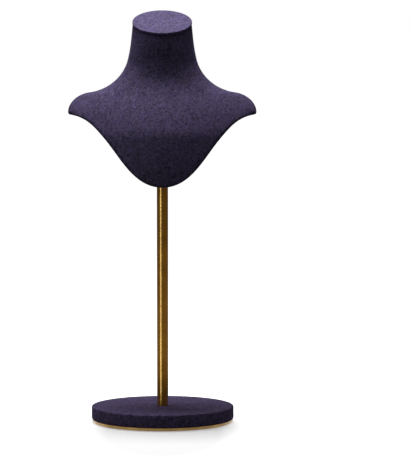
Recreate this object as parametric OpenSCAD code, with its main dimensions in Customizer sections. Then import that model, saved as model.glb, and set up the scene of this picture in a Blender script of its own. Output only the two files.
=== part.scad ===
// Necklace stand: a cloth-covered neck and shoulders form on a brass pole and a weighted round base.
// Millimetres, +Z up, +X to the stand's right as seen from the front, the front faces -Y.
// The origin is the middle of the underside, where the stand rests.

/* [Base] */
// Diameter of the base over its cloth
base_d = 171.4; // [150:0.2:200]
// Thickness of the wooden disc
board_t = 13.1; // [10:0.1:22]
// Thickness of the brass plate
plate_t = 3.6; // [2:0.1:6]
// How far the plate stands in from the cloth's side
plate_inset = 0.8; // [0.2:0.1:4]
// Thickness of the non-slip pad
pad_t = 0.8; // [0.5:0.1:2]
// How far the pad stands in from the plate's edge
pad_inset = 5; // [2:0.5:15]
// Rounding of the wooden disc's edges
board_edge_r = 0.5; // [0.3:0.1:2]
// How far the cloth is folded in under the wooden disc
base_fold = 14; // [8:1:20]
// Bevel along the edges of the brass plate
plate_bevel = 0.4; // [0.2:0.1:0.8]

/* [Pole] */
// Outer diameter of the tube
pole_d = 13.5; // [10:0.5:20]
// Wall of the tube
pole_wall = 1.1; // [0.8:0.1:2]
// Depth of the socket in the bust
socket_depth = 42; // [25:1:60]
// Length of each threaded plug in the tube
plug_len = 24; // [16:1:40]
// Nominal diameter of the screw, the stud and their threads
thread_d = 6; // [4:1:6]
// Diameter of the screw's countersunk head
head_d = 11.6; // [10:0.2:12]
// Height of the screw's countersunk head
head_h = 3; // [2:0.1:3.5]
// Width across the flats of the screw's hexagon socket
drive_w = 4; // [2.5:0.5:5]
// Depth of the hexagon socket
drive_depth = 2; // [1.5:0.1:3]
// How far the screw reaches into the lower plug
screw_reach = 20; // [10:1:24]
// Bevel at the ends of the tube, the plugs, the stud, the screw and the insert
end_bevel = 0.3; // [0.1:0.1:0.6]
// How far the stud stands out of the upper plug
stud_reach = 14; // [8:1:18]

/* [Bust] */
// Height of the bust's lowest edge above the floor
bust_z = 286.4; // [240:0.1:420]
// Height of the neck's cut over the lowest edge, at the neck's middle
neck_h = 192.5; // [180:0.5:230]
// Diameter of the neck at its cut
neck_d = 70.8; // [62:0.2:80]
// Lean of the cut towards the front
neck_lean = 23.4; // [0:0.2:30]
// Height of the neck's root over the lowest edge
root_h = 150; // [146:0.5:156]
// How much wider the neck's root is than its cut, on each side
root_flare = 6; // [3:0.1:10]
// Width over the two shoulder tips
shoulder_w = 228; // [200:1:260]
// Height of the shoulder tips over the lowest edge
tip_h = 84; // [78:0.5:92]
// How far the shoulders' line has risen where it bends to the neck
shoulder_rise = 26.7; // [22:0.1:30]
// How far in from the tips that bend lies
shoulder_run = 26; // [20:0.5:34]
// Rounding of the shoulder tips, seen from the front
tip_r = 3; // [2:0.2:5]
// Distance of the chest's lowest front edge from the pole's middle
chest_y = 72; // [50:1:80]
// Distance of the flat back from the pole's middle
back_y = 32; // [26:1:40]
// How far the neck's middle lies behind the pole's middle
neck_y = 8; // [0:1:14]
// Height of the bosom's fullest line over the lowest edge
bosom_h = 56; // [46:1:60]
// Rise of the underside towards the back, for each millimetre of depth
under_rise = 0.35; // [0:0.01:0.4]
// Rounding of the shoulders towards the front
shoulder_r = 16; // [12:1:20]
// How deep the shoulders' rounding reaches from the front
shoulder_deep = 24; // [12:1:30]
// Rounding of the shoulders towards the back
back_r = 6; // [4:0.5:8]
// Rounding of the lower edge
edge_r = 3.6; // [2.6:0.2:6]
// Length of the threaded insert in the bust
insert_len = 18; // [12:1:26]
// Diameter of the threaded insert
insert_d = 12; // [9:0.5:14]

/* [Cloth and boards] */
// Thickness of the cloth with its foam backing
cloth_t = 1; // [0.6:0.1:1.6]
// Thickness of the stiff disc in the neck cap
cap_card_t = 1.1; // [0.8:0.1:3]
// Thickness of the stiff panel on the back
panel_card_t = 1.8; // [1.2:0.1:4]
// How far the cloth is folded in under the neck cap and behind the back panel
card_fold = 8; // [5:1:12]
// How far the neck cap stands out past the neck
cap_lip = 0.4; // [0:0.1:1]
// Width of the seam down the back of the neck
seam_w = 0.5; // [0.3:0.1:1]
// How far the back panel stands in from the edge of the back
panel_inset = 7; // [5:0.5:12]
// How far the cloth turns in over the back, from its edge
turn_in = 18; // [14:1:24]
// Height of the back panel's straight top edge over the lowest edge
panel_top_h = 104; // [96:1:108]
// Room between the moulded form and its stretched cloth
slack = 0.25; // [0.2:0.05:0.4]
// Layer of glue between pieces that are stuck together
glue = 0.1; // [0.05:0.05:0.2]
// Clearance all round a piece that slides into another
fit = 0.15; // [0.1:0.05:0.3]

/* [Hidden] */
$fn = 96;

velvet = [0.20, 0.17, 0.27];
velvet_light = [0.31, 0.28, 0.40];
brass = [0.62, 0.46, 0.22];
steel = [0.72, 0.72, 0.74];
card = [0.62, 0.55, 0.45];
foam = [0.85, 0.82, 0.74];

// Levels of the base stack
plate_z = pad_t;
cover_z = plate_z + plate_t + glue;
board_z = cover_z + cloth_t + glue;
board_top = board_z + board_t;
base_top = board_top + glue + cloth_t;
board_r = base_d / 2 - cloth_t - glue;
plate_r = base_d / 2 - plate_inset;
pad_r = plate_r - pad_inset;
screw_hole_r = thread_d / 2 + fit;

// Levels of the pole
pole_r = pole_d / 2;
bore_r = pole_r - pole_wall;
pole_z = board_top + glue;
underside_z = bust_z + under_rise * chest_y;
socket_top = underside_z + socket_depth;
pole_top = socket_top - glue;
insert_r = insert_d / 2;

// Share of each curve's chord that its two handles take, and the same on the long lower edge
handle = 0.36;
lower_handle = 0.366;
// Segments along the outline between its knots, and across half the front and half the back
neck_steps = 6;
slope_steps = 11;
shoulder_steps = 7;
tip_steps = 3;
lower_steps = 17;
front_cols = 10;
back_cols = 5;
// Half width of the strip that closes the bust's lowest edge
keel = 5;
// Segments round a cloth's fold, for a full turn
fold_steps = 24;

// Heights over the lowest edge: the collar, where the shoulders start to give way to the round
// neck, the throat, where they have, and the nape, where the chest's sideways curve has died out
collar_h = root_h - 38;
throat_h = root_h - 4;
nape_h = root_h + 18;
// The shoulder blades' height, where the back starts to lean to the neck
blade_h = root_h - 32;
// The collar bone's height and the throat's hollow, between the chest's slope and the neck
bone_h = tip_h + 8;
hollow_h = root_h - 19;
// Height over which the underside's rise dies out below the tips
rise_fade = 30;
// Half width at which the chest has curved back to the neck's middle plane
curve_w = shoulder_w / 2 + 4;
neck_half_depth = neck_d / 2 * cos(neck_lean);
neck_front = neck_y - neck_half_depth;
// Largest share of the bust's depth that its front edge and its back edge may take
front_share = 0.6;
back_share = 0.34;

function mix(a, b, t) = a + (b - a) * t;
function clamp(t) = min(1, max(0, t));
function ease(t) = clamp(t) * clamp(t) * (3 - 2 * clamp(t));
function unit(v) = v / norm(v);
function heading(angle) = [cos(angle), sin(angle)];

// A curve through two knots [x, h, heading], as its point and its heading at t
function bend(a, b, share) =
    let (p = [a.x, a.y], q = [b.x, b.y], reach = share * norm(q - p))
    [p, p + reach * heading(a.z), q - reach * heading(b.z), q];
function curve_at(c, t) =
    pow(1 - t, 3) * c[0] + 3 * pow(1 - t, 2) * t * c[1] + 3 * (1 - t) * t * t * c[2] + pow(t, 3) * c[3];
function curve_dir(c, t) =
    unit(pow(1 - t, 2) * (c[1] - c[0]) + 2 * (1 - t) * t * (c[2] - c[1]) + t * t * (c[3] - c[2]));

// A smooth line through knots [h, value, slope]
function line_at(knots, h) =
    let (
        last = len(knots) - 2,
        under = [for (i = [1:last]) if (h >= knots[i][0]) 1],
        i = last > 0 ? len(under) : 0,
        a = knots[i],
        b = knots[i + 1],
        span = b[0] - a[0],
        t = clamp((h - a[0]) / span)
    )
    (2 * pow(t, 3) - 3 * t * t + 1) * a[1] + (pow(t, 3) - 2 * t * t + t) * span * a[2]
    + (3 * t * t - 2 * pow(t, 3)) * b[1] + (pow(t, 3) - t * t) * span * b[2];

// The outline's knots: half width, height over the lowest edge, heading in degrees
tip_x = shoulder_w / 2;
wing_heading = -175;
tip_cut = tip_r * tan((-90 - wing_heading) / 2);
tip_in = [tip_x, tip_h + tip_cut, -90];
tip_out = [
    tip_x + tip_cut * cos(wing_heading),
    tip_h + tip_cut * sin(wing_heading),
    wing_heading
];
neck_knot = [neck_d / 2, neck_h, -84];
root_knot = [neck_d / 2 + root_flare, root_h, -76];
slope_knot = [tip_x - shoulder_run, tip_h + shoulder_rise, -7.3];
foot_knot = [0, 0, -180];
// Where along the last curve the strip begins
foot_end = 1 - keel / (3 * lower_handle * tip_x);

spans = [
    [bend(neck_knot, root_knot, handle), neck_steps, 1],
    [bend(root_knot, slope_knot, handle), slope_steps, 1],
    [bend(slope_knot, tip_in, handle), shoulder_steps, 1],
    [bend(tip_in, tip_out, handle), tip_steps, 1],
    [bend(tip_out, foot_knot, lower_handle), lower_steps, foot_end]
];
// Every station of the outline from the neck down: half width, height, outward normal, 1 on the lower edge
stations = [
    for (s = [0:len(spans) - 1])
    for (i = [(s == 0 ? 0 : 1):spans[s][1]])
    let (
        t = spans[s][2] * i / spans[s][1],
        p = curve_at(spans[s][0], t),
        d = curve_dir(spans[s][0], t),
        first = s == 0 && i == 0
    )
    [p.x, p.y, first ? 1 : -d.y, first ? 0 : d.x, s > 3 ? 1 : 0]
];
rings = len(stations);
upper_line = [for (s = stations) if (s[4] == 0) [s[0], s[1]]];
lower_line = concat(
    [upper_line[len(upper_line) - 1]],
    [for (s = stations) if (s[4] == 1) [s[0], s[1]]],
    [[0, 0]]
);

function from_segment(p, a, b) =
    let (ab = b - a, t = clamp((p - a) * ab / (ab * ab)))
    norm(p - a - t * ab);
function from_line(p, pts) = min([for (i = [0:len(pts) - 2]) from_segment(p, pts[i], pts[i + 1])]);

// Where the front lies at its middle, how far it curves back at the sides, and where the back lies
front_line = [
    [0, -chest_y, 0.01],
    [bosom_h, mix(-chest_y, neck_front, 0.12), 0.2],
    [bone_h, mix(-chest_y, neck_front, 0.47), 0.66],
    [hollow_h, mix(-chest_y, neck_front, 0.98), 0.14],
    [neck_h, neck_front, 0.12]
];
side_curve = chest_y + neck_y;
side_line = [
    [0, 0.87 * side_curve, 0],
    [tip_h, 0.95 * side_curve, 0],
    [blade_h, 1.08 * side_curve, 0],
    [nape_h, 0, 0]
];
back_line = [
    [blade_h, back_y, 0],
    [neck_h, neck_y + neck_half_depth, 0.05]
];
function front_at(x, h) = line_at(front_line, h) + line_at(side_line, h) * pow(x / curve_w, 2);
function neckness(h) = ease((h - collar_h) / (throat_h - collar_h));
// How far a quarter-round edge has turned away, from 0 at its start to 1 at its end
function turned(u) = 1 - sqrt(1 - pow(clamp(u), 2));

// One station of the bust, set in by a cloth's or a glue layer's thickness
function station(k, inset) =
    let (s = stations[k])
    [s[0] - inset * s[2], s[1] - inset * s[3]];
// How far an edge has turned in at a point of the outline's plane, for an upper edge of radius r
function edge_turn(p, inset, r, upper_depth) =
    max(
        upper_depth * turned((r - from_line(p, upper_line)) / (r - inset)),
        (edge_r - inset) * turned((edge_r - from_line(p, lower_line)) / (edge_r - inset))
    );
// The point of the bust's skin at a station, x across it, on the front (side = 1) or the back (side = -1)
function skin(k, x, side, inset) =
    let (
        p = station(k, inset),
        a = p.x,
        h = p.y,
        n = neckness(h),
        rim_y = front_at(a, h) + inset,
        rear_y = line_at(back_line, h) - inset,
        deep = rear_y - rim_y,
        round_neck = turned(x / a),
        front_edge = mix(
            edge_turn([x, h], inset, shoulder_r, min(shoulder_deep, front_share * deep)),
            round_neck * (neck_y - rim_y), n
        ),
        back_edge = mix(
            edge_turn([x, h], inset, back_r, min(back_r, back_share * deep)),
            round_neck * (rear_y - neck_y), n
        ),
        y = side > 0 ? front_at(x, h) + inset + front_edge : rear_y - back_edge,
        lean = tan(neck_lean) * ease((h - throat_h) / (neck_h - throat_h)),
        s = stations[k],
        rise = under_rise * s[4] * ease((tip_h - s[1]) / rise_fade),
        wall_y = front_at(s[0], s[1]) + edge_r
    )
    [x, y, bust_z + h + lean * (y - neck_y) + rise * max(0, y - wall_y)];

// Half width of the gap between the cloth's two turned-in edges on the back, which the panel hides
seam_from = panel_top_h - panel_inset - 1;
function gap_at(k) =
    let (s = stations[k], slant = min(4, 1 / max(0.01, abs(s[2]))))
    s[1] > seam_from ? seam_w / 2 : max(seam_w / 2, s[0] - turn_in * slant);

// One ring, from the back seam round the right side, the front and the left side to the seam
function half_ring(k, inset) =
    let (a = station(k, inset).x, g = gap_at(k))
    concat(
        [for (j = [0:back_cols]) skin(k, mix(g, a, sin(90 * j / back_cols)), -1, inset)],
        [for (j = [front_cols:-1:0]) skin(k, a * sin(90 * j / front_cols), 1, inset)]
    );
function ring(k, inset) =
    let (half = half_ring(k, inset), n = len(half))
    concat(half, [for (j = [n - 2:-1:0]) [-half[j].x, half[j].y, half[j].z]]);
cols = 2 * (front_cols + back_cols + 1) + 1;
mid = (cols - 1) / 2;
function skin_points(inset) = [for (k = [0:rings - 1]) each ring(k, inset)];

function quad(a, b, c, d, flip) = flip ? [[a, b, c], [a, c, d]] : [[a, c, b], [a, d, c]];
// Faces of one skin, with the strip that closes its lowest edge
function skin_faces(base, flip) = concat(
    [
        for (k = [0:rings - 2])
        for (j = [0:cols - 2])
        let (i = base + k * cols + j)
        each quad(i, i + 1, i + 1 + cols, i + cols, flip)
    ],
    [
        for (j = [0:mid - 1])
        let (r = base + (rings - 1) * cols, a = r + j, b = r + cols - 1 - j)
        each (j == mid - 1 ? [flip ? [a, a + 1, b] : [a, b, a + 1]] : quad(a, a + 1, b - 1, b, flip))
    ]
);

// The moulded form, closed across the back gap and the neck's cut
module form(inset) {
    close_back = [
        for (k = [0:rings - 2])
        let (i = k * cols)
        each quad(i + cols - 1, i, i + cols, i + 2 * cols - 1, false)
    ];
    polyhedron(
        points = skin_points(inset),
        faces = concat(
            skin_faces(0, false),
            close_back,
            [for (j = [1:cols - 2]) [0, j, j + 1]]
        )
    );
}

// The cloth over the form, a sheet with two turned-in edges that meet in the neck's back seam
module wrap(outer, inner) {
    n = rings * cols;
    edges = [
        for (k = [0:rings - 2])
        let (i = k * cols, j = i + cols - 1)
        each concat(
            quad(i + cols, i + cols + n, i + n, i, false),
            quad(j, j + n, j + cols + n, j + cols, false)
        )
    ];
    top = [for (j = [0:cols - 2]) each quad(j, j + n, j + 1 + n, j + 1, false)];
    last = (rings - 1) * cols;
    polyhedron(
        points = concat(skin_points(outer), skin_points(inner)),
        faces = concat(
            skin_faces(0, false),
            skin_faces(n, true),
            edges,
            top,
            quad(last, last + cols - 1, last + cols - 1 + n, last + n, false)
        )
    );
}

module on_neck_cut() {
    translate([0, neck_y, bust_z + neck_h])
        rotate([neck_lean, 0, 0])
        children();
}

// The outline of the flat back, and a point set in from it at a right angle
back_line_points = [for (k = [0:rings - 1]) [stations[k][0], skin(k, stations[k][0], -1, 0).z - bust_z]];
function set_in(k, inset) =
    let (d = unit(back_line_points[k + 1] - back_line_points[k - 1]))
    back_line_points[k] + inset * [d.y, -d.x];
// The back's outline set in, up to a straight top edge, without the loops that the corners would leave
function panel_half(inset, top) = [
    for (k = [1:rings - 2])
    let (q = set_in(k, inset))
    if (q.y < top && q.x > 1 && from_line(q, back_line_points) > inset - glue) q
];
module panel_shape(inset) {
    top = panel_top_h - (inset - panel_inset);
    half = panel_half(inset, top);
    right = concat([[half[0].x, top]], half);
    polygon(concat(right, [for (i = [len(right) - 1:-1:0]) [-right[i].x, right[i].y]]));
}
module on_back(y0, thick) {
    translate([0, y0 + thick, bust_z])
        rotate([90, 0, 0])
        linear_extrude(height = thick)
        children();
}

module bust_core() {
    color(foam)
        difference() {
            form(cloth_t + slack);
            translate([0, 0, bust_z])
                cylinder(r = pole_r + fit, h = socket_top - bust_z);
            translate([0, 0, bust_z])
                cylinder(r = insert_r + glue, h = socket_top - bust_z + insert_len + glue);
        }
}

module bust_cover() {
    color(velvet)
        difference() {
            wrap(0, cloth_t);
            translate([0, 0, bust_z - 1])
                cylinder(r = pole_r + fit, h = socket_depth);
        }
}

// Half section of a disc from z up, with both its edges rounded to r
module disc_section(outer_r, z, tall, r) {
    translate([0, z + r])
        square([outer_r, tall - 2 * r]);
    translate([0, z])
        square([outer_r - r, tall]);
    for (h = [z + r, z + tall - r])
        translate([outer_r - r, h])
        circle(r = r, $fn = fold_steps);
}
// Half section of cloth wrapped over a disc, the child, and folded in under it
module wrapped_section(outer_r, z, tall, r, fold) {
    difference() {
        disc_section(outer_r, z, tall, r);
        children();
        translate([0, z - 1])
            square([outer_r - fold, 1 + cloth_t + glue]);
    }
}
// A rod or a disc from z up, with both its ends bevelled
module rod(r, z, tall, bevel) {
    top = z + tall;
    rotate_extrude()
        polygon([[0, z], [r - bevel, z], [r, z + bevel], [r, top - bevel], [r - bevel, top], [0, top]]);
}

cap_r = neck_d / 2 + cap_lip;
cap_tall = cap_card_t + 2 * (cloth_t + glue);
module neck_cap_board() {
    color(card)
        on_neck_cut()
        translate([0, 0, glue + cloth_t + glue])
        cylinder(r = cap_r - cloth_t - glue, h = cap_card_t);
}

module neck_cap_cover() {
    color(velvet_light)
        on_neck_cut()
        rotate_extrude()
        wrapped_section(cap_r, glue, cap_tall, cloth_t, card_fold)
        translate([0, glue + cloth_t])
        square([cap_r - cloth_t, cap_card_t + 2 * glue]);
}

module back_panel_board() {
    color(card)
        on_back(back_y + glue + cloth_t + glue, panel_card_t)
        panel_shape(panel_inset + cloth_t + glue);
}

module back_panel_cover() {
    color(velvet)
        difference() {
            on_back(back_y + glue, panel_card_t + 2 * (cloth_t + glue))
                panel_shape(panel_inset);
            on_back(back_y + glue + cloth_t, panel_card_t + 2 * glue)
                panel_shape(panel_inset + cloth_t);
            on_back(back_y, cloth_t + 2 * glue)
                panel_shape(panel_inset + card_fold);
        }
}

module threaded_bore(z, tall) {
    translate([0, 0, z - 1])
        cylinder(r = thread_d / 2 + glue / 2, h = tall + 2);
}

module bust_insert() {
    color(brass)
        difference() {
            rod(insert_r, socket_top, insert_len, end_bevel);
            threaded_bore(socket_top, insert_len);
        }
}

module top_stud() {
    color(steel)
        rod(thread_d / 2, pole_top - plug_len, plug_len + stud_reach, end_bevel);
}

module plug(z) {
    color(steel)
        difference() {
            rod(bore_r - glue / 2, z, plug_len, end_bevel);
            threaded_bore(z, plug_len);
        }
}
module pole_top_plug() {
    plug(pole_top - plug_len);
}
module pole_bottom_plug() {
    plug(pole_z);
}

module pole() {
    color(brass)
        difference() {
            rod(pole_r, pole_z, pole_top - pole_z, end_bevel);
            translate([0, 0, pole_z - 1])
                cylinder(r = bore_r, h = pole_top - pole_z + 2);
        }
}

module base_board() {
    color(card)
        difference() {
            rotate_extrude()
                disc_section(board_r, board_z, board_t, board_edge_r);
            translate([0, 0, board_z - 1])
                cylinder(r = screw_hole_r, h = board_t + 2);
        }
}

module base_cover() {
    fold_r = board_edge_r + glue + cloth_t;
    color(velvet)
        difference() {
            rotate_extrude()
                wrapped_section(base_d / 2, cover_z, base_top - cover_z, fold_r, base_fold)
                disc_section(board_r + glue, board_z - glue, board_t + 2 * glue, fold_r - cloth_t);
            translate([0, 0, board_z])
                cylinder(r = pole_r + fit, h = base_top - board_z + 1);
        }
}

module base_plate() {
    color(brass)
        translate([0, 0, plate_z])
        difference() {
            rod(plate_r, 0, plate_t, plate_bevel);
            translate([0, 0, -1])
                cylinder(r = screw_hole_r, h = plate_t + 2);
            cylinder(r1 = head_d / 2 + fit, r2 = screw_hole_r, h = head_h + fit);
        }
}

module base_screw() {
    r = thread_d / 2;
    tall = pole_z - plate_z + screw_reach;
    color(steel)
        translate([0, 0, plate_z])
        difference() {
            rotate_extrude()
                polygon([
                    [0, 0], [head_d / 2, 0], [r, head_h],
                    [r, tall - end_bevel], [r - end_bevel, tall], [0, tall]
                ]);
            translate([0, 0, -1])
                linear_extrude(height = drive_depth + 1)
                polygon([for (a = [0:60:300]) drive_w / sqrt(3) * heading(a)]);
        }
}

module base_pad() {
    color([0.12, 0.12, 0.13])
        cylinder(r = pad_r, h = pad_t);
}

bust_core();
bust_cover();
neck_cap_board();
neck_cap_cover();
back_panel_board();
back_panel_cover();
bust_insert();
top_stud();
pole_top_plug();
pole();
pole_bottom_plug();
base_board();
base_cover();
base_plate();
base_screw();
base_pad();
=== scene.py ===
# %% [markdown]
# A necklace stand: a cloth-covered neck and shoulders on a thin brass pole, over a round base.
# The measured solids come in first. They are right in size and place, and each one keeps its
# name, so everything made below is either a better skin for one of them or a finish on it.

# %% Load the measured solids
import math

import bmesh
import bpy
import numpy as np
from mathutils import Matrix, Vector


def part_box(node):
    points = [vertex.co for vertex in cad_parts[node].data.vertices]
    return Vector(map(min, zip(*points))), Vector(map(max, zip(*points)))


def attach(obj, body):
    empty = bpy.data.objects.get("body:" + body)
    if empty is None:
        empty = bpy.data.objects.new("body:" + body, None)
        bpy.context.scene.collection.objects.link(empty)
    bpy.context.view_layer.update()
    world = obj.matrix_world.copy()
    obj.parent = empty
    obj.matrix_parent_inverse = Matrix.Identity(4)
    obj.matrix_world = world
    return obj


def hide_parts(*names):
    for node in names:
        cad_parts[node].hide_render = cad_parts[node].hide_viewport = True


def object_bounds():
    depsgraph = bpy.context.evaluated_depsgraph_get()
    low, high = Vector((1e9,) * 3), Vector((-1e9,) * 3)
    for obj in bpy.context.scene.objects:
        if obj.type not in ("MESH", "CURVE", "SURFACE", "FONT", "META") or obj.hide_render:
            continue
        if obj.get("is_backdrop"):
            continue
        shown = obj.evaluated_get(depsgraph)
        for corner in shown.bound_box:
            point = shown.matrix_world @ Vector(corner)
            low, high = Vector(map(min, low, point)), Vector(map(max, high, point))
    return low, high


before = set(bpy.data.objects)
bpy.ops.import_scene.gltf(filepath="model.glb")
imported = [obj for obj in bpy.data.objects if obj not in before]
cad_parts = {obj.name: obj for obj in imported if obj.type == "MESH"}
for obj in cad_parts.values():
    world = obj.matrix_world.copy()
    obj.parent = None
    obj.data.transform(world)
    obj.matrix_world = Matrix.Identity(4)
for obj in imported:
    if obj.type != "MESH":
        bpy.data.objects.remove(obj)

MM = 0.001
cad_low, cad_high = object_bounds()
print("solids:", len(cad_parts), "height in mm:", round(cad_high.z / MM, 1))

# %% [markdown]
# The camera stands 3 m away, a little below the top of the stand, and looks slightly down. A long
# lens keeps the sides of the bust from spreading, as in a catalogue picture. The stand is a little
# left of the middle, so the camera is turned one degree to the right.

# %% Camera
CAMERA_AT, LENS_MM, LOOK_DOWN, LOOK_RIGHT = (0, -3.0, 0.44), 191.9, 4.07, 1.0
camera = bpy.data.objects.new("camera", bpy.data.cameras.new("camera"))
bpy.context.scene.collection.objects.link(camera)
camera.data.sensor_width = 36
camera.data.lens = LENS_MM
camera.data.clip_end = 100
camera.location = CAMERA_AT
camera.rotation_euler = (math.radians(90 - LOOK_DOWN), 0, math.radians(-LOOK_RIGHT))
bpy.context.scene.camera = camera
bpy.context.scene.view_settings.view_transform = "Standard"
print("camera at", tuple(round(v, 3) for v in camera.location))

# %% [markdown]
# Materials are node trees. A few small helpers keep the trees readable: the first adds a node and
# sets its inputs, and the others use it to do arithmetic, mix colours, stretch a range and make
# noise.

# %% Helpers for nodes
def add(tree, kind, inputs=None, **settings):
    """A node of that kind with its settings. Each input is a value, or a socket to link."""
    node = tree.nodes.new(kind)
    for key, value in settings.items():
        setattr(node, key, value)
    for key, value in (inputs or {}).items():
        if isinstance(value, bpy.types.NodeSocket):
            tree.links.new(value, node.inputs[key])
        else:
            node.inputs[key].default_value = value
    return node


def maths(tree, operation, a, b=0.0):
    """One arithmetic step on two values or sockets."""
    return add(tree, "ShaderNodeMath", {0: a, 1: b}, operation=operation).outputs[0]


def swing(tree, value, gain):
    """How far a value lies from one half, times a gain."""
    return maths(tree, "MULTIPLY", maths(tree, "SUBTRACT", value, 0.5), gain)


def blend_colours(tree, share, a, b):
    """Colour a where share is 0 and colour b where it is 1."""
    node = add(tree, "ShaderNodeMix", {"Factor": share}, data_type="RGBA")
    for socket, value in ((node.inputs[6], a), (node.inputs[7], b)):
        if isinstance(value, bpy.types.NodeSocket):
            tree.links.new(value, socket)
        else:
            socket.default_value = (*value, 1)
    return node.outputs[2]


def remap(tree, value, from_low, from_high, to_low, to_high):
    """A value stretched from one range to another, and clamped to it."""
    ends = {"From Min": from_low, "From Max": from_high, "To Min": to_low, "To Max": to_high}
    return add(tree, "ShaderNodeMapRange", {"Value": value, **ends}).outputs[0]


def noise(tree, vector, scale, detail, swirl=0.0):
    """Smooth noise about one half, with as many spots to a metre as the scale says."""
    wanted = {"Vector": vector, "Scale": scale, "Detail": detail, "Distortion": swirl}
    return add(tree, "ShaderNodeTexNoise", wanted).outputs[0]


print("node helpers are ready")

# %% [markdown]
# Three more helpers open whole trees: a named group with the numbers that it takes and gives, a
# material, and the shader that ends a material. A group is made once, and each material that uses
# it sets its own numbers.

# %% Helpers for groups and materials
def open_group(name, inputs, outputs):
    """A new shader group with number inputs {name: default} and number outputs by name."""
    tree = bpy.data.node_groups.new(name, "ShaderNodeTree")
    for key, default in inputs.items():
        socket = tree.interface.new_socket(name=key, in_out="INPUT", socket_type="NodeSocketFloat")
        socket.default_value = default
    for key in outputs:
        tree.interface.new_socket(name=key, in_out="OUTPUT", socket_type="NodeSocketFloat")
    return tree, tree.nodes.new("NodeGroupInput").outputs, tree.nodes.new("NodeGroupOutput").inputs


def new_material(name):
    """An empty node material, with its node tree and its output node."""
    material = bpy.data.materials.new(name)
    material.use_nodes = True
    material.node_tree.nodes.clear()
    return material, material.node_tree, material.node_tree.nodes.new("ShaderNodeOutputMaterial")


def surface(tree, out, inputs):
    """Joins a Principled shader with those inputs to the material's output."""
    shader = add(tree, "ShaderNodeBsdfPrincipled", inputs)
    tree.links.new(shader.outputs[0], out.inputs["Surface"])


print("group and material helpers are ready")

# %% [markdown]
# The covers are a suede-like microfibre. Close up it is a felt of very short hairs that lean in
# small tufts, so it shows as a fine dark and light speckle with no weave. Two sizes of noise give
# the speckle, swirled a little as a brush leaves it. A broad one gives the patches that a hand
# leaves, and another turns the hue a little bluer or greyer. A picture of cloth would need
# unwrapping and would show seams, while noise in object coordinates runs on over every edge.

# %% Speckle of the nap
nap_tree, nap_in, nap_out = open_group(
    "nap speckle", {"Tuft size": 0.0022, "Contrast": 1.0, "Patches": 0.3}, ("Nap", "Hue", "Height")
)
place = add(nap_tree, "ShaderNodeTexCoord").outputs["Object"]


def speckle(per_tuft, detail, shift, swirl=0.0):
    """Noise with per_tuft spots to a tuft's width, shifted so that no two sets line up."""
    scale = maths(nap_tree, "DIVIDE", per_tuft, nap_in["Tuft size"])
    parts = {0: place, 1: (shift,) * 3}
    moved = add(nap_tree, "ShaderNodeVectorMath", parts, operation="ADD").outputs[0]
    return noise(nap_tree, moved, scale, detail, swirl)


tufts = speckle(1.0, 3.0, 0.0, 0.9)
hairs = speckle(2.4, 3.0, 3.7)
patches = speckle(0.25, 2.0, 8.1, 0.6)
hue = speckle(0.45, 2.0, 5.3, 0.8)
half_tufts, half_hairs = (maths(nap_tree, "MULTIPLY", part, 0.5) for part in (tufts, hairs))
spots = maths(nap_tree, "ADD", half_tufts, half_hairs)
spread = swing(nap_tree, spots, nap_in["Contrast"])
broad = swing(nap_tree, patches, nap_in["Patches"])
nap = maths(nap_tree, "ADD", maths(nap_tree, "ADD", spread, broad), 0.5)
nap_tree.links.new(nap, nap_out["Nap"])
nap_tree.links.new(remap(nap_tree, hue, 0.35, 0.65, 0.0, 1.0), nap_out["Hue"])
nap_tree.links.new(spots, nap_out["Height"])
print("group:", nap_tree.name)

# %% [markdown]
# The cloth material mixes a dark and a light indigo by that speckle. The sheen lobe is the light
# that the hair tips catch at a glancing angle. Its weight and roughness are the same everywhere,
# so they are plain numbers on the shader. Gloss is nearly off, because suede has none.

# %% Suede cloth material
HUE_SHARE, PATCHES = 0.06, 0.3
PILE_BUMP, PILE_DEEP = 0.15, 0.0004
SHEEN, SHEEN_TINT = 0.1, (0.45, 0.38, 0.75, 1)


def bluer(colour, share):
    """The colour with its blue raised by a share, its red as much lower, its green half as much."""
    return tuple(np.array(colour) * (1 - share, 1 - share / 2, 1 + share))


def suede(name, dark, light, contrast, tuft):
    """Microfibre cloth: dark and light are linear colours, tuft is the speckle's size in metres."""
    material, tree, out = new_material(name)
    look = {"Tuft size": tuft, "Contrast": contrast, "Patches": PATCHES}
    cloth_nap = add(tree, "ShaderNodeGroup", look, node_tree=nap_tree).outputs
    greyest, bluest = bluer(light, -HUE_SHARE), bluer(light, HUE_SHARE)
    turned_light = blend_colours(tree, cloth_nap["Hue"], greyest, bluest)
    lightness = remap(tree, cloth_nap["Nap"], 0.0, 1.0, 0.0, 1.0)
    raised = {"Height": cloth_nap["Height"], "Strength": PILE_BUMP, "Distance": PILE_DEEP}
    inputs = {
        "Base Color": blend_colours(tree, lightness, dark, turned_light),
        "Roughness": 0.9,
        "Normal": add(tree, "ShaderNodeBump", raised).outputs["Normal"],
        "Specular IOR Level": 0.08,
        "Sheen Weight": SHEEN,
        "Sheen Roughness": 0.4,
        "Sheen Tint": SHEEN_TINT,
    }
    surface(tree, out, inputs)
    return material


INDIGO_DARK, INDIGO_LIGHT = (0.027, 0.022, 0.043), (0.160, 0.124, 0.262)
# The cap's and the base's colours are lighter copies of the bust's indigo. That is painted light:
# it brightens the cap further, and lifts the base's top out of the bust's shadow.
CAP_DARK, CAP_LIGHT = (0.055, 0.044, 0.085), (0.178, 0.145, 0.295)
BASE_DARK, BASE_LIGHT = (0.034, 0.027, 0.058), (0.205, 0.158, 0.325)
bust_cloth = suede("bust cloth", INDIGO_DARK, INDIGO_LIGHT, contrast=3.5, tuft=0.003)
print("cloth:", bust_cloth.name)

# %% [markdown]
# The bust is one moulded form with cloth stretched over it. Seen from the front its outline is a
# slim neck that flares to sharp shoulder tips, and then a shield-shaped lower edge. The outline is
# drawn first, as curves through a few knots. Each point of it then carries one horizontal slice of
# the form. Those slices, stacked, are the surface: a loft. Sculpting would be slower to correct.

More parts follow.
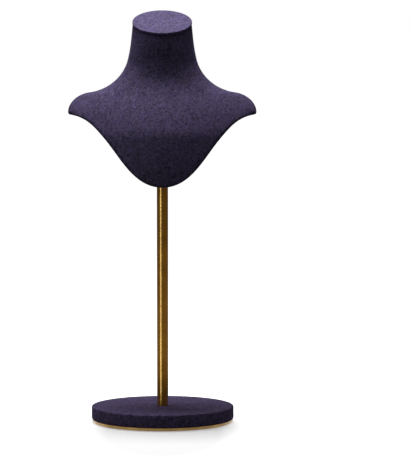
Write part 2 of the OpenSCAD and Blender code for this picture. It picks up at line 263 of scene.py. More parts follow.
# %% Sizes of the bust, in millimetres
NECK_D, NECK_H, NECK_LEAN, NECK_Y = 70.8, 192.5, math.radians(23.4), 8.0
BUST_Z, CHEST_Y, BACK_Y = 286.4, 72.0, 32.0
TIP_X, TIP_H, TIP_R = 114.0, 84.0, 3.0
ROOT_H, ROOT_FLARE = 150.0, 6.0
SHOULDER_RUN, SHOULDER_RISE = 26.0, 26.7
BOSOM_H, COLLAR_H, THROAT_H, NAPE_H = 56.0, ROOT_H - 38, ROOT_H - 4, ROOT_H + 18
BLADE_H, BONE_H, HOLLOW_H = ROOT_H - 32, TIP_H + 8, ROOT_H - 19
SHOULDER_R, SHOULDER_DEEP, BACK_R, EDGE_R = 16.0, 24.0, 6.0, 3.6
UNDER_RISE, RISE_FADE, CLOTH, GLUE = 0.35, 30.0, 1.0, 0.1
neck_half_depth = NECK_D / 2 * math.cos(NECK_LEAN)
neck_front, curve_w, side_curve = NECK_Y - neck_half_depth, TIP_X + 4, CHEST_Y + NECK_Y
print("neck front at", round(neck_front, 2), "chest front at", -CHEST_Y)

# %% [markdown]
# Small formulas do the shaping. Ease is a soft step from 0 to 1. Turned is a quarter circle,
# which rounds an edge. The smooth line goes through knots of height, value and slope, and gives
# the profile of the front, of the back and of the chest's sideways curve at every height.

# %% Shaping formulas
def ease(t):
    """A step from 0 to 1 with level ends: t squared times three minus twice t."""
    t = np.clip(t, 0, 1)
    return t * t * (3 - 2 * t)


def turned(u):
    """How far a quarter circle has turned away: one minus the root of one minus u squared."""
    return 1 - np.sqrt(1 - np.clip(u, 0, 1) ** 2)


def smooth_line(knots, h):
    """Cubic pieces through knots (height, value, slope), level past both ends."""
    knots = np.array(knots, float)
    i = np.clip(np.searchsorted(knots[:, 0], h, side="right") - 1, 0, len(knots) - 2)
    a, b = knots[i], knots[i + 1]
    span = b[..., 0] - a[..., 0]
    t = np.clip((h - a[..., 0]) / span, 0, 1)
    start = (2 * t**3 - 3 * t**2 + 1) * a[..., 1] + (t**3 - 2 * t**2 + t) * span * a[..., 2]
    return start + (3 * t**2 - 2 * t**3) * b[..., 1] + (t**3 - t**2) * span * b[..., 2]


def mix(a, b, t):
    """A straight blend from a to b."""
    return a + (b - a) * t


FRONT_LINE = [
    (0, -CHEST_Y, 0.01),
    (BOSOM_H, mix(-CHEST_Y, neck_front, 0.12), 0.2),
    (BONE_H, mix(-CHEST_Y, neck_front, 0.47), 0.66),
    (HOLLOW_H, mix(-CHEST_Y, neck_front, 0.98), 0.14),
    (NECK_H, neck_front, 0.12),
]
SIDE_LINE = [
    (0, 0.87 * side_curve, 0),
    (TIP_H, 0.95 * side_curve, 0),
    (BLADE_H, 1.08 * side_curve, 0),
    (NAPE_H, 0, 0),
]
BACK_LINE = [(BLADE_H, BACK_Y, 0), (NECK_H, NECK_Y + neck_half_depth, 0.05)]


def front_at(x, h):
    """The chest's front: its profile, swept back by the sideways curve times x squared."""
    return smooth_line(FRONT_LINE, h) + smooth_line(SIDE_LINE, h) * (x / curve_w) ** 2


print("front of the chest by height:", smooth_line(FRONT_LINE, np.arange(0, 200, 40.0)).round(1))

# %% [markdown]
# The outline has five curves. Each runs between two knots, which hold a half width, a height and
# a heading, and its two handles point along those headings. Close to the neck's cut the rows lie
# tightly, so that the cloth can roll in over the rim. The last curve stops a little before the
# middle, which leaves a short keel at the very bottom.

# %% Outline of the bust
UPPER_HANDLE, LOWER_HANDLE, KEEL, WING = 0.36, 0.366, 3.0, -175


def heading(degrees):
    """The unit vector at an angle."""
    return np.array([math.cos(math.radians(degrees)), math.sin(math.radians(degrees))])


def bend(a, b, share, t):
    """Points and unit headings at t of the cubic whose handles are share of the chord long."""
    p, q = np.array(a[:2], float), np.array(b[:2], float)
    reach = share * np.linalg.norm(q - p)
    c = [p, p + reach * heading(a[2]), q - reach * heading(b[2]), q]
    t = t[:, None]
    point = (1 - t) ** 3 * c[0] + 3 * (1 - t) ** 2 * t * c[1]
    point = point + 3 * (1 - t) * t**2 * c[2] + t**3 * c[3]
    way = (1 - t) ** 2 * (c[1] - c[0]) + 2 * (1 - t) * t * (c[2] - c[1]) + t**2 * (c[3] - c[2])
    return point, way / np.linalg.norm(way, axis=1, keepdims=True)


tip_cut = TIP_R * math.tan(math.radians((-90 - WING) / 2))
neck_knot = (NECK_D / 2, NECK_H, -84)
root_knot = (NECK_D / 2 + ROOT_FLARE, ROOT_H, -76)
slope_knot = (TIP_X - SHOULDER_RUN, TIP_H + SHOULDER_RISE, -7.3)
tip_in = (TIP_X, TIP_H + tip_cut, -90)
tip_out = (*(np.array([TIP_X, TIP_H]) + tip_cut * heading(WING)), WING)
foot_knot = (0, 0, -180)
keel_start = 1 - KEEL / (3 * LOWER_HANDLE * TIP_X)
rim_rows = np.array([0, 0.003, 0.008, 0.014, 0.021, 0.03])
spans = [
    (neck_knot, root_knot, UPPER_HANDLE, np.concatenate([rim_rows, np.linspace(0.05, 1, 15)])),
    (root_knot, slope_knot, UPPER_HANDLE, np.linspace(0, 1, 45)[1:]),
    (slope_knot, tip_in, UPPER_HANDLE, np.linspace(0, 1, 29)[1:]),
    (tip_in, tip_out, UPPER_HANDLE, np.linspace(0, 1, 9)[1:]),
    (tip_out, foot_knot, LOWER_HANDLE, np.linspace(0, keel_start, 91)[1:]),
]
drawn = [bend(*span) for span in spans]
outline = np.concatenate([points for points, ways in drawn])
all_ways = np.concatenate([ways for points, ways in drawn])
outward = np.column_stack([-all_ways[:, 1], all_ways[:, 0]])
outward[0] = (1, 0)
on_lower_edge = np.repeat([0.0, 0.0, 0.0, 0.0, 1.0], [len(points) for points, ways in drawn])
upper_line = outline[on_lower_edge == 0]
lower_line = np.concatenate([upper_line[-1:], outline[on_lower_edge == 1], [[0, 0]]])
print("rows:", len(outline), "widest:", round(2 * outline[:, 0].max(), 1))

# %% [markdown]
# Near the outline the form rolls over to its edge. How far it has rolled depends on the shortest
# distance to the outline, so the rounding is as wide at a sharp tip as along a straight run.

# %% Rolled edges
def from_polyline(points, line):
    """Shortest distance from each point of an array to a line of straight segments."""
    best = np.full(points.shape[:-1], np.inf)
    for a, b in zip(line[:-1], line[1:]):
        chord = b - a
        t = np.clip((points - a) @ chord / (chord @ chord), 0, 1)[..., None]
        best = np.minimum(best, np.linalg.norm(points - a - t * chord, axis=-1))
    return best


def edge_turn(points, inset, radius, upper_depth):
    """How deep an edge has rolled away: quarter circles, measured from the outline inwards."""
    upper_gap, lower_gap = (from_polyline(points, line) for line in (upper_line, lower_line))
    upper = upper_depth * turned((radius - upper_gap) / (radius - inset))
    lower = (EDGE_R - inset) * turned((EDGE_R - lower_gap) / (EDGE_R - inset))
    return np.maximum(upper, lower)


at_outline = edge_turn(outline, 0, SHOULDER_R, SHOULDER_DEEP)
print("rolled away by", at_outline.max().round(1), "mm at the shoulders' outline")

# %% [markdown]
# A slice starts at the seam in the middle of the back, goes round the side and over the front to
# the middle, and its mirror image closes the ring. The neck's slices are oval, and below the
# collar the sides roll over to the shield's edge. Below the seam's foot the two edges of the cloth
# part, and lie turned in on the back, where a panel will hide them. The function places every
# point of every slice at once, as whole arrays. The core under the cloth is made of flat facets,
# and in the hollow below each shoulder tip they stand out of a smooth curve, so the cloth is a
# little proud there.

# %% Skin of the bust
SEAM_HALF, SEAM_FOOT, SEAM_FADE, TURN_IN, TURN_END = 0.05, 96.0, 20.0, 24.0, 55.0
FRONT_SHARE, BACK_SHARE, WALL_STEPS = 0.6, 0.34, 9
PROUD, HOLLOW_X, HOLLOW_WIDE = 0.4, 74.0, 10.0
seam_steps = np.array([0.0, 0.3, 0.6, 1.0, 1.6])
back_share = np.sin(np.linspace(0, np.pi / 2, 21))
front_share = np.sin(np.linspace(np.pi / 2, 0, 41))


def bust_skin(inset):
    """Grid of points, rows down the outline by columns round the form, at a depth inside it.

    The depth is one number, or a column with a number for each row.
    """
    a = outline[:, :1] - inset * outward[:, :1]
    h = outline[:, 1:] - inset * outward[:, 1:]
    turned_edge = np.clip(outline[:, 0] - TURN_IN, SEAM_HALF, TURN_END)
    gap = np.where(outline[:, 1] > SEAM_FOOT, SEAM_HALF, turned_edge)[:, None]
    seam = gap + seam_steps * np.minimum(1, a / SEAM_FADE)
    x_back = np.concatenate([seam[:, :-1], mix(seam[:, -1:], a, back_share)], axis=1)
    x_front = a * front_share
    neck_share = ease((h - COLLAR_H) / (THROAT_H - COLLAR_H))
    rim_y = front_at(a, h) + inset
    rear_y = smooth_line(BACK_LINE, h) - inset
    deep = rear_y - rim_y

    def rolled(x, radius, edge_depth, neck_depth):
        """How deep the surface has rolled at x: an oval on the neck, a turned edge below."""
        points = np.stack([x, np.broadcast_to(h, x.shape)], axis=-1)
        edge = edge_turn(points, inset, radius, edge_depth)
        return mix(edge, turned(x / a) * neck_depth, neck_share)

    front_depth = np.minimum(SHOULDER_DEEP, FRONT_SHARE * deep)
    front_roll = rolled(x_front, SHOULDER_R, front_depth, NECK_Y - rim_y)
    y_front = front_at(x_front, h) + inset + front_roll
    back_depth = np.minimum(BACK_R, BACK_SHARE * deep)
    y_back = rear_y - rolled(x_back, BACK_R, back_depth, rear_y - NECK_Y)
    wall = np.linspace(0, 1, WALL_STEPS + 2)[1:-1]
    x_wall = np.broadcast_to(a, (len(a), WALL_STEPS))
    y_wall = mix(y_back[:, -1:], y_front[:, :1], wall)
    x = np.concatenate([x_back, x_wall, x_front], axis=1)
    y = np.concatenate([y_back, y_wall, y_front], axis=1)
    lean = math.tan(NECK_LEAN) * ease((h - THROAT_H) / (NECK_H - THROAT_H))
    out_a, out_h = outline[:, :1], outline[:, 1:]
    rise = UNDER_RISE * on_lower_edge[:, None] * ease((TIP_H - out_h) / RISE_FADE)
    wall_y = front_at(out_a, out_h) + EDGE_R
    z = BUST_Z + h + lean * (y - NECK_Y) + rise * np.maximum(0, y - wall_y)
    half = np.stack([x, y, z], axis=-1)
    return np.concatenate([half, (half * (-1, 1, 1))[:, -2::-1]], axis=1)


proud = PROUD * on_lower_edge * np.exp(-(((outline[:, 0] - HOLLOW_X) / HOLLOW_WIDE) ** 2))
outer_skin, inner_skin = bust_skin(-proud[:, None]), bust_skin(CLOTH)
print("grid:", outer_skin.shape[:2], "top at", round(outer_skin[..., 2].max(), 1))

# %% [markdown]
# At the neck's cut the cloth rolls in over the rim, and along the back of the neck its two edges
# roll in to the seam. Both are the quarter circle again: one is a pull towards the neck's middle
# in the top rows, the other a small dip beside the seam.

# %% Rolled rim and seam
ROLL_DEEP, ROLL_TALL, SEAM_DEEP, SEAM_WIDE, REAR_Y = 0.95, 1.6, 0.6, 1.0, 20.0
below_rim = (NECK_H - outline[:, 1]) / ROLL_TALL
pull = ROLL_DEEP * turned(1 - below_rim)[:, None]
kept_share = 1 - pull / outline[:, :1]
outer_skin[..., 0] *= kept_share
outer_skin[..., 1] = NECK_Y + (outer_skin[..., 1] - NECK_Y) * kept_share
beside_seam = np.abs(outer_skin[..., 0]) - SEAM_HALF
at_seam = (outer_skin[..., 1] > REAR_Y) * (outline[:, 1] > SEAM_FOOT)[:, None]
dip = SEAM_DEEP * turned(1 - beside_seam / SEAM_WIDE) * at_seam
outer_skin[..., 1] -= dip
print("rim pulled in by", pull.max().round(2), "mm, seam dips", dip.max().round(2), "mm")

# %% [markdown]
# Points become a mesh with a few helpers. One joins two rows of points with a strip of faces, one
# joins neighbours all over a grid, and one makes the object: it merges doubles, turns the faces
# outwards and shades them smooth, except across edges sharper than 50 degrees.

# %% Mesh helpers
SHARP, JOIN = math.radians(50), 1e-6


def link(thing):
    """The object, after it has been put into the scene."""
    bpy.context.scene.collection.objects.link(thing)
    return thing


def tidy_mesh(name, vertices, faces):
    """An object from points in mm and several lists of faces."""
    mesh = bpy.data.meshes.new(name)
    mesh.from_pydata(np.asarray(vertices) * MM, [], [face for part in faces for face in part])
    work = bmesh.new()
    work.from_mesh(mesh)
    bmesh.ops.remove_doubles(work, verts=work.verts, dist=JOIN)
    bmesh.ops.dissolve_degenerate(work, edges=work.edges, dist=JOIN)
    bmesh.ops.recalc_face_normals(work, faces=work.faces)
    work.to_mesh(mesh)
    work.free()
    mesh.shade_smooth()
    mesh.set_sharp_from_angle(angle=SHARP)
    return link(bpy.data.objects.new(name, mesh))


def strip(first, second):
    """Quads between two rows of vertex numbers."""
    return np.column_stack([first[:-1], first[1:], second[1:], second[:-1]]).tolist()


def grid_faces(numbers):
    """Quads between neighbours of a two-way array of vertex numbers."""
    a, b, c, d = numbers[:-1, :-1], numbers[:-1, 1:], numbers[1:, 1:], numbers[1:, :-1]
    return np.stack([a, b, c, d], axis=-1).reshape(-1, 4).tolist()


print("a grid of 2 by 3 points has", len(grid_faces(np.arange(6).reshape(2, 3))), "faces")

# %% [markdown]
# The two skins become one mesh. Faces join neighbours in the grid, the inner skin's are turned
# round so that they face inwards, and strips close the neck's cut, the two edges of the cloth at
# the back, and the short keel at the very bottom.

# %% Mesh of the bust's cloth
rows, columns = outer_skin.shape[:2]
outer_ids = np.arange(rows * columns).reshape(rows, columns)
inner_ids = outer_ids + rows * columns
middle = columns // 2
keel_end = (outer_ids[-1, 0], outer_ids[-1, -1], inner_ids[-1, -1], inner_ids[-1, 0])
cloth_faces = [
    grid_faces(outer_ids),
    grid_faces(inner_ids[:, ::-1]),
    strip(inner_ids[0], outer_ids[0]),
    strip(outer_ids[:, 0], inner_ids[:, 0]),
    strip(inner_ids[:, -1], outer_ids[:, -1]),
    strip(outer_ids[-1, : middle + 1], outer_ids[-1, : middle - 1 : -1]),
    strip(inner_ids[-1, : middle - 1 : -1], inner_ids[-1, : middle + 1]),
    [[int(i) for i in keel_end]],
]
cloth_points = np.concatenate([outer_skin, inner_skin]).reshape(-1, 3)
bust_shape = tidy_mesh("bust_cloth", cloth_points, cloth_faces)
print("bust cloth:", len(bust_shape.data.polygons), "faces")

# %% [markdown]
# The pole goes up into the bust through a hole in the cloth. A boolean cuts it with a round
# cutter, a hair wider than the pole. The result is kept and the cutter is thrown away, so no
# modifier is left to be worked out later.

# %% Hole for the pole
HOLE_GAP, HOLE_STEPS = 0.2, 48


def revolve(name, profile, steps):
    """A closed profile of (radius, height) in mm, turned about the upright axis in equal steps."""
    profile = np.array(profile, float)
    turn = np.linspace(0, 2 * np.pi, steps, endpoint=False)[:, None]
    r, z = profile[:, 0], profile[:, 1]
    points = np.stack([r * np.cos(turn), r * np.sin(turn), z + 0 * turn], axis=-1)
    ids = np.arange(steps * len(profile)).reshape(steps, len(profile))
    closed = np.concatenate([ids, ids[:1]])
    closed = np.concatenate([closed, closed[:, :1]], axis=1)
    return tidy_mesh(name, points.reshape(-1, 3), [grid_faces(closed)])


def keep_evaluated(thing):
    """Replaces an object's mesh by what its modifiers make of it, and drops the modifiers."""
    depsgraph = bpy.context.evaluated_depsgraph_get()
    made = bpy.data.meshes.new_from_object(thing.evaluated_get(depsgraph))
    thing.modifiers.clear()
    thing.data = made


pole_r = (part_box("pole")[1].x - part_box("pole")[0].x) / 2 / MM
hole_r, hole_low, hole_high = pole_r + HOLE_GAP, BUST_Z - 5, BUST_Z + 40
hole_profile = [(0, hole_low), (hole_r, hole_low), (hole_r, hole_high), (0, hole_high)]
cutter = revolve("cutter", hole_profile, HOLE_STEPS)
hole = bust_shape.modifiers.new("hole", "BOOLEAN")
hole.operation, hole.solver, hole.object = "DIFFERENCE", "EXACT", cutter
keep_evaluated(bust_shape)
bust_shape.data.set_sharp_from_angle(angle=SHARP)
bpy.data.objects.remove(cutter)
bust_shape.data.materials.clear()
bust_shape.data.materials.append(bust_cloth)
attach(bust_shape, "root")
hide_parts("bust_cover")
print("after the hole:", len(bust_shape.data.polygons), "faces")

# %% [markdown]
# The neck's cap is a stiff disc with cloth wrapped over it. It is turned like a pot on a wheel:
# a half section with a rounded rim, a slightly padded top and a fold below, spun round its axis
# and then tilted to the slant of the neck's cut.

# %% Cap on the neck
CAP_TALL, CAP_EDGE, CAP_FOLD, CAP_CROWN, CAP_STEPS = 3.3, 0.9, 8, 0.35, 144
ARC_STEPS, TOP_STEPS, DIP_RATE = 9, 26, 12


def arc(centre, radius, start, end, steps):
    """Points on a part of a circle, from one angle in degrees to another."""
    angle = np.radians(np.linspace(start, end, steps))
    return np.column_stack([centre[0] + radius * np.cos(angle), centre[1] + radius * np.sin(angle)])


def cover_profile(outer_r, tall, bend_r, folded, hole_r, crown):
    """Half section of cloth over a disc: fold and side, padded top, then back along the inside."""
    ins, hem = outer_r - CLOTH, outer_r - folded
    under = arc((outer_r - bend_r, bend_r), bend_r, -90, 0, ARC_STEPS)
    over = arc((outer_r - bend_r, tall - bend_r), bend_r, 0, 90, ARC_STEPS)
    top_r = np.linspace(outer_r - bend_r, hole_r, TOP_STEPS)[1:]
    share = (top_r - hole_r) / (outer_r - bend_r - hole_r)
    top = np.column_stack([top_r, tall + crown * (1 - share**4) * ease(DIP_RATE * share)])
    inside = [(hole_r, tall - CLOTH), (ins, tall - CLOTH), (ins, CLOTH), (hem, CLOTH), (hem, 0)]
    return np.concatenate([under, over, top, inside])


cap_profile = cover_profile(NECK_D / 2 + 0.4, CAP_TALL, CAP_EDGE, CAP_FOLD, 0.0, CAP_CROWN)
cap = revolve("neck_cap_cloth", cap_profile, CAP_STEPS)
cos_lean, sin_lean = math.cos(NECK_LEAN), math.sin(NECK_LEAN)
tilt = np.array([[1, 0, 0], [0, cos_lean, -sin_lean], [0, sin_lean, cos_lean]])
points = np.empty(len(cap.data.vertices) * 3)
cap.data.vertices.foreach_get("co", points)
lifted = points.reshape(-1, 3) + (0, 0, GLUE * MM)
seated = lifted @ tilt.T + (0, NECK_Y * MM, (BUST_Z + NECK_H) * MM)
cap.data.vertices.foreach_set("co", seated.ravel())
cap.data.update()
# The cap's lighter colours are painted light.
cap.data.materials.append(suede("cap cloth", CAP_DARK, CAP_LIGHT, contrast=3.8, tuft=0.0036))
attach(cap, "root")
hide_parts("neck_cap_cover")
print("cap:", len(cap.data.polygons), "faces")

# %% [markdown]
# The base's cover is the same kind of turned shape, much wider, with a flat top and a hole for the
# pole. Its size is read from the solid that it replaces.

# %% Cover of the base
BASE_EDGE, BASE_FOLD, BASE_GAP, BASE_STEPS = 1.6, 14, 0.15, 256
base_low, base_high = (np.array(corner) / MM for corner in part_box("base_cover"))
base_r, base_tall = base_high[0], base_high[2] - base_low[2]
base_profile = cover_profile(base_r, base_tall, BASE_EDGE, BASE_FOLD, pole_r + BASE_GAP, 0.0)
base_profile[:, 1] += base_low[2]
base = revolve("base_cloth", base_profile, BASE_STEPS)
# The base's lighter colours are painted light, which lifts its top out of the bust's shadow.
base.data.materials.append(suede("base cloth", BASE_DARK, BASE_LIGHT, contrast=3.4, tuft=0.003))
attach(base, "root")
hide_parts("base_cover")
print("base cover:", len(base.data.polygons), "faces")

# %% [markdown]
# On the flat back a covered panel hides the cloth's turned edges. Its outline follows the bust's
# edge at a fixed distance. Offset curves loop over themselves in tight corners, so points that
# come too near the original line are dropped, and so are those close to the sharp tip, which is
# kept. Each corner of the outline also gets the direction that sets it in evenly from both sides.

# %% Outline of the panel on the back
PANEL_IN, PANEL_TOP, TOP_CLEAR, TIP_CLEAR, NEAR = 7.0, 104.0, 0.5, 7.5, 0.05


def unit(v):
    """Each row of an array, made 1 long."""
    return v / np.maximum(np.linalg.norm(v, axis=1, keepdims=True), 1e-9)


def to_right(way):
    """Each row of an array of directions, turned a quarter to the right."""
    return np.column_stack([way[:, 1], -way[:, 0]])


rear_corner = outer_skin[:, len(seam_steps) + len(back_share) - 2]
back_line = np.column_stack([outline[:, 0], rear_corner[:, 2] - BUST_Z])
moved = back_line[1:-1] + PANEL_IN * to_right(unit(back_line[2:] - back_line[:-2]))
clear = from_polyline(moved, back_line) > PANEL_IN - NEAR
moved = moved[clear & (moved[:, 0] > 1) & (moved[:, 1] < PANEL_TOP - TOP_CLEAR)]
from_tip = np.linalg.norm(moved - moved[moved[:, 0].argmax()], axis=1)
moved = moved[(from_tip == 0) | (from_tip > TIP_CLEAR)]
right = np.concatenate([[[moved[0, 0], PANEL_TOP]], moved])
loop = np.concatenate([right, (right * (-1, 1))[::-1]])
inward_before = to_right(unit(loop - np.roll(loop, 1, axis=0)))
inward_after = to_right(unit(np.roll(loop, -1, axis=0) - loop))
mitre = unit(inward_before + inward_after)
mitre /= np.maximum(np.sum(mitre * inward_before, axis=1, keepdims=True), 0.5)
print("panel outline:", len(loop), "points, width", round(2 * loop[:, 0].max(), 1), "mm")

# %% [markdown]
# Copies of that outline, each set in a little, follow the cloth's section from the middle of its
# inner face round its folded edge to the outer face. The two wide faces are shaded flat, because
# smooth shading would give them the slant of their rounded rims.

# %% Panel on the back
PANEL_THICK, PANEL_EDGE, HEM, FOLD_R, PAD_IN, PAD_OUT = 4.0, 1.2, 4.5, 0.8, 0.2, 0.15
lid, face = PANEL_THICK - CLOTH, PANEL_THICK + PAD_OUT
inside = [(HEM, lid + PAD_IN), (CLOTH, lid), (CLOTH, CLOTH), (HEM, CLOTH), (HEM, 0.0)]
under = arc((FOLD_R, FOLD_R), FOLD_R, -90, -180, 5)
over = arc((PANEL_EDGE, PANEL_THICK - PANEL_EDGE), PANEL_EDGE, 180, 90, 7)
padded = [(2.4, PANEL_THICK + 0.1), (3.4, face), (HEM, face)]
section = np.concatenate([inside, under, over, padded])
rings = [
    np.insert(loop + inset * mitre, 1, BACK_Y + GLUE + height, axis=1)
    for inset, height in section
]
rings = np.array(rings) + (0, 0, BUST_Z)
ring_ids = np.arange(rings.shape[0] * rings.shape[1]).reshape(rings.shape[:2])
wrapped = np.concatenate([ring_ids, ring_ids[:, :1]], axis=1)
wide_faces = [ring_ids[-1].tolist(), ring_ids[0].tolist()]
panel = tidy_mesh("back_panel_cloth", rings.reshape(-1, 3), [grid_faces(wrapped), wide_faces])
corners = np.empty(len(panel.data.polygons), dtype=np.int32)
panel.data.polygons.foreach_get("loop_total", corners)
panel.data.polygons.foreach_set("use_smooth", corners == 4)
panel.data.materials.append(
    suede("panel cloth", INDIGO_DARK, INDIGO_LIGHT, contrast=3.4, tuft=0.003)
)
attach(panel, "root")
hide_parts("back_panel_cover")
print("panel:", len(panel.data.polygons), "faces")

# %% [markdown]
# Antique brass is a yellow metal that has been darkened and rubbed back. Fine lines from brushing
# lie along the pole and round the plate, and a broad noise says how much dark stain is left. The
# lines are noise too, in a space squeezed by one factor across the upright axis and by another
# along it. They run the way that is squeezed less.

# %% Brushing group
brush_tree, brush_in, brush_out = open_group(
    "brushing", {"Across": 4000.0, "Along": 30.0, "Stain size": 60.0}, ("Lines", "Stain")
)
spot = add(brush_tree, "ShaderNodeTexCoord").outputs["Object"]
factors = {0: brush_in["Across"], 1: brush_in["Across"], 2: brush_in["Along"]}
stretch = add(brush_tree, "ShaderNodeCombineXYZ", factors).outputs[0]
parts = {0: spot, 1: stretch}
lined = add(brush_tree, "ShaderNodeVectorMath", parts, operation="MULTIPLY").outputs[0]
brush_tree.links.new(noise(brush_tree, lined, 1.0, 3.0), brush_out["Lines"])
brush_tree.links.new(noise(brush_tree, spot, brush_in["Stain size"], 4.0), brush_out["Stain"])
print("group:", brush_tree.name)

# %% [markdown]
# The brass is fully metallic, so its colour is the colour of its reflections: darker where stain
# is left, with a roughness that follows the lines. A thin coat over it is the lacquer.

# %% Antique brass material
GROOVE_BUMP, GROOVE_DEEP, LACQUER_ROUGH = 0.05, 0.0001, 0.12


def antique_brass(name, dark, bright, across, along, rough=(0.24, 0.36), coat=0.9):
    """Metal whose colour and roughness vary with its stain, with fine brushed lines in relief."""
    material, tree, out = new_material(name)
    look = {"Across": across, "Along": along}
    brushed = add(tree, "ShaderNodeGroup", look, node_tree=brush_tree).outputs
    worn = remap(tree, brushed["Stain"], 0.3, 0.7, 0.0, 1.0)
    brightness = maths(tree, "ADD", worn, swing(tree, brushed["Lines"], 0.5))
    grooves = {"Height": brushed["Lines"], "Strength": GROOVE_BUMP, "Distance": GROOVE_DEEP}
    inputs = {
        "Base Color": blend_colours(tree, brightness, dark, bright),
        "Metallic": 1.0,
        "Roughness": remap(tree, brushed["Lines"], 0.3, 0.7, *rough),
        "Normal": add(tree, "ShaderNodeBump", grooves).outputs["Normal"],
        "Coat Weight": coat,
        "Coat Roughness": LACQUER_ROUGH,
    }
    surface(tree, out, inputs)
    return material


def finish(node, material):
    """Gives a measured solid a finish of its own in each of its material slots."""
    for place_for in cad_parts[node].material_slots:
        place_for.material = material


pole_brass = antique_brass(
    "pole brass", (0.50, 0.26, 0.03), (0.74, 0.42, 0.06), across=5000, along=20, rough=(0.2, 0.3)
)
plate_brass = antique_brass(
    "plate brass", (0.27, 0.155, 0.045), (0.42, 0.26, 0.085), across=400, along=6000, coat=0.3
)
insert_brass = antique_brass(
    "insert brass", (0.40, 0.26, 0.09), (0.62, 0.44, 0.18), across=3000, along=3000
)
finish("pole", pole_brass)
finish("base_plate", plate_brass)
finish("bust_insert", insert_brass)
print("brass on the pole, the plate and the insert")

# %% [markdown]
# The pieces inside are seen only when the stand is taken apart: the moulded form, the stiff
# boards, the steel fasteners and the rubbery pad. They get plain materials from one function,
# with a mottle of noise that can be streaked into a grain.

# %% Materials of the inner pieces
GRAIN_DEEP = 0.0003


def plain_stuff(name, dark, light, scale, stretch_z=1.0, rough=(0.6, 0.8), metallic=0.0, bump=0.2):
    """A solid material with a mottle, streaked along Z where stretch_z is small."""
    material, tree, out = new_material(name)
    where = add(tree, "ShaderNodeTexCoord").outputs["Object"]
    mapping = {"Vector": where, "Scale": (1, 1, stretch_z)}
    grain = noise(tree, add(tree, "ShaderNodeMapping", mapping).outputs[0], scale, 5.0)
    relief = {"Height": grain, "Strength": bump, "Distance": GRAIN_DEEP}
    inputs = {
        "Base Color": blend_colours(tree, remap(tree, grain, 0.3, 0.7, 0.0, 1.0), dark, light),
        "Metallic": metallic,
        "Roughness": remap(tree, grain, 0.3, 0.7, *rough),
        "Normal": add(tree, "ShaderNodeBump", relief).outputs["Normal"],
    }
    surface(tree, out, inputs)
    return material


board = plain_stuff("fibreboard", (0.28, 0.19, 0.11), (0.42, 0.31, 0.20), scale=900)
foam = plain_stuff("core foam", (0.62, 0.58, 0.48), (0.78, 0.75, 0.66), scale=1800)
rubber = plain_stuff(
    "pad foam", (0.012, 0.012, 0.014), (0.03, 0.03, 0.033), scale=2500, rough=(0.8, 0.95)
)
steel = plain_stuff(
    "zinc steel",
    (0.42, 0.43, 0.45),
    (0.62, 0.63, 0.66),
    scale=1500,
    stretch_z=0.1,
    rough=(0.25, 0.4),
    metallic=1.0,
    bump=0.1,
)
finish("bust_core", foam)
finish("base_pad", rubber)
for piece_name in ("neck_cap_board", "back_panel_board", "base_board"):
    finish(piece_name, board)
for piece_name in ("top_stud", "pole_top_plug", "pole_bottom_plug", "base_screw"):
    finish(piece_name, steel)
print("materials:", len(bpy.data.materials))

# %% [markdown]
# Most light comes from one wide soft box almost straight overhead, as in a small product tent. It
# makes the neck's cap and the shoulders bright and leaves the neck's front dark. A weak box on the
# left and a still weaker one on the right keep the edges readable. A narrow strip, seen only in
# reflections, draws the line on the pole. It leans back, so that it looks wider and brighter from
# low on the pole.

# %% Lights
CHEST = (0, 0, 0.35)
STRIP_AT, STRIP_AIM, STRIP_BLUE = (-0.1325, -0.179, 0.30), (0, 0, 0.335), (0.6, 0.7, 1.0)


def soft_box(name, at, aim, size, watts, tint=(1, 1, 1), only_gloss=False):
    """An area lamp that stands at one point and faces another."""
    lamp = bpy.data.lights.new(name, "AREA")
    lamp.shape, lamp.size, lamp.size_y, lamp.energy, lamp.color = "RECTANGLE", *size, watts, tint
    holder = link(bpy.data.objects.new(name, lamp))
    holder.location = at
    way = np.array(aim, float) - at
    holder.rotation_euler = Vector(way).to_track_quat("-Z", "Y").to_euler()
    holder.visible_camera = False
    holder.visible_diffuse = not only_gloss


soft_box("overhead", (-0.075, 0.075, 1.6), (-0.075, 0.075, 0), (0.45, 0.6), 17)
soft_box("left", (-1.2, -0.1, 1.5), CHEST, (0.5, 0.5), 3.0)
soft_box("right", (1.4, -0.3, 0.5), CHEST, (0.5, 0.9), 0.3)
soft_box("strip", STRIP_AT, STRIP_AIM, (0.045, 0.6), 0.30, STRIP_BLUE, only_gloss=True)

# %% [markdown]
# The surroundings are white to the camera and in reflections, and dim to the light that bounces,
# because the cloth is dark below and bright surroundings would wash it out.

# %% Surroundings
BOUNCED_SKY = 0.09


def seen_directly(tree):
    """1 for rays that the camera, a reflection or glass sends, and 0 for bounced light."""
    path = add(tree, "ShaderNodeLightPath").outputs
    either = maths(tree, "MAXIMUM", path["Is Camera Ray"], path["Is Glossy Ray"])
    return maths(tree, "MAXIMUM", either, path["Is Transmission Ray"])


world = bpy.data.worlds.new("white surroundings")
bpy.context.scene.world = world
world.use_nodes = True
world.node_tree.nodes.clear()
sky = world.node_tree
sky_strength = remap(sky, seen_directly(sky), 0, 1, BOUNCED_SKY, 1.0)
sky_light = add(sky, "ShaderNodeBackground", {"Color": (1, 1, 1, 1), "Strength": sky_strength})
sky.links.new(sky_light.outputs[0], add(sky, "ShaderNodeOutputWorld").inputs["Surface"])
print("surroundings:", world.name)
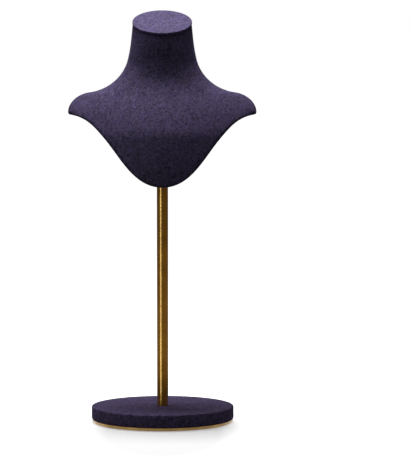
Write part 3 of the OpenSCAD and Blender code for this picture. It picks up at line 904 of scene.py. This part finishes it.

# %% [markdown]
# The floor is matt, pale to the eye and darker to bounced light. It glows as well, which is painted
# light that no lamp gives: least in an oval under the stand and in front of it, where it keeps the
# soft shadow of the base, and fully white further out, where it hides the lamps' shadows. It lies
# a hair below the pad, because two faces in one plane show as streaks.

# %% Floor
FLOOR_Z, FLOOR_HALF = -0.0002, 30
OVAL_SHIFT, OVAL_SCALE = (0, 0.045, 0), (1.06, 0.45, 1)
FLOOR_BOUNCED, FLOOR_SEEN = (0.1, 0.1, 0.1), (0.85, 0.85, 0.85)
floor_white, floor_nodes, floor_out = new_material("white floor")
on_floor = add(floor_nodes, "ShaderNodeTexCoord").outputs["Object"]
oval = {"Vector": on_floor, "Location": OVAL_SHIFT, "Scale": OVAL_SCALE}
shifted = add(floor_nodes, "ShaderNodeMapping", oval).outputs[0]
around = add(floor_nodes, "ShaderNodeVectorMath", {0: shifted}, operation="LENGTH")
# Painted light: the glow rises from 0.33 inside the oval to 1 outside it, and whitens the floor's
# real shadow out there.
painted_floor_glow = remap(floor_nodes, around.outputs["Value"], 0.07, 0.13, 0.33, 1.0)
direct = seen_directly(floor_nodes)
paint = blend_colours(floor_nodes, direct, FLOOR_BOUNCED, FLOOR_SEEN)
matt = add(floor_nodes, "ShaderNodeBsdfDiffuse", {"Color": paint})
floor_glow = {"Strength": maths(floor_nodes, "MULTIPLY", direct, painted_floor_glow)}
glow = add(floor_nodes, "ShaderNodeEmission", floor_glow)
both = add(floor_nodes, "ShaderNodeAddShader", {0: matt.outputs[0], 1: glow.outputs[0]})
floor_nodes.links.new(both.outputs[0], floor_out.inputs["Surface"])
floor_mesh = bpy.data.meshes.new("floor")
floor_square = np.array([(-1, -1, 0), (1, -1, 0), (1, 1, 0), (-1, 1, 0)]) * FLOOR_HALF
floor_mesh.from_pydata(floor_square + (0, 0, FLOOR_Z), [], [(0, 1, 2, 3)])
floor_mesh.materials.append(floor_white)
link(bpy.data.objects.new("floor", floor_mesh))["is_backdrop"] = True
print("floor at", FLOOR_Z / MM, "mm")

# %% [markdown]
# Polished metal looks like metal when it has something dark to reflect. A photographer stands
# dark card round it. Here it is a ring that only reflections can see, a painted reflection, so it
# neither blocks a lamp nor shows behind the stand. It also glows faintly, which is painted light
# that no lamp gives: most low down, where it makes the pole's reflection brighter, and not at all
# where it meets the floor.

# %% Dark card for the metal
CARD_RINGS, CARD_POINTS = ((0.11, 0.002), (0.3, 0.03), (0.3, 1.0)), 41
CARD_GLOW = (1, 0.76, 0.45, 1)
turn = np.radians(np.linspace(-180, 180, CARD_POINTS))
circle = np.column_stack([np.cos(turn), np.sin(turn), 0 * turn])
card_points = np.concatenate([circle * radius + (0, 0, height) for radius, height in CARD_RINGS])
card_ids = np.arange(len(card_points)).reshape(-1, CARD_POINTS)
card_mesh = bpy.data.meshes.new("dark card")
card_mesh.from_pydata(card_points, [], grid_faces(card_ids))
card_paint, card_nodes, card_out = new_material("card paint")
card_place = add(card_nodes, "ShaderNodeTexCoord").outputs["Object"]
card_height = add(card_nodes, "ShaderNodeSeparateXYZ", {0: card_place}).outputs["Z"]
# Painted light: the card's glow, strongest low down, paints the pole's reflection brighter there.
painted_glow_by_height = remap(card_nodes, card_height, 0.07, 0.27, 0.22, 0.085)
glow_share = remap(card_nodes, card_height, 0.01, 0.03, 0.0, 1.0)
card_look = {"Color": CARD_GLOW, "Strength": maths(card_nodes, "MULTIPLY", painted_glow_by_height, glow_share)}
dim = add(card_nodes, "ShaderNodeEmission", card_look)
card_nodes.links.new(dim.outputs[0], card_out.inputs["Surface"])
card_mesh.materials.append(card_paint)
card = link(bpy.data.objects.new("dark_card", card_mesh))
card.visible_camera = card.visible_diffuse = card.visible_shadow = card.visible_transmission = False
card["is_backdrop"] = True
print("card:", len(card_mesh.polygons), "faces")

# %% [markdown]
# The last cell compares the box round the finished stand with the box of the solids, and prints
# how far each end of the box moved. A skin may stand a little proud of its solid, and nothing
# may shrink or grow.

# %% Sizes, and the end
low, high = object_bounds()
sizes = {"cad": [list(cad_low), list(cad_high)], "visual": [list(low), list(high)]}
ends_before, ends_now = (np.concatenate(sizes[key]) / MM for key in ("cad", "visual"))
print("box grew by, in mm:", (ends_now - ends_before).round(2))
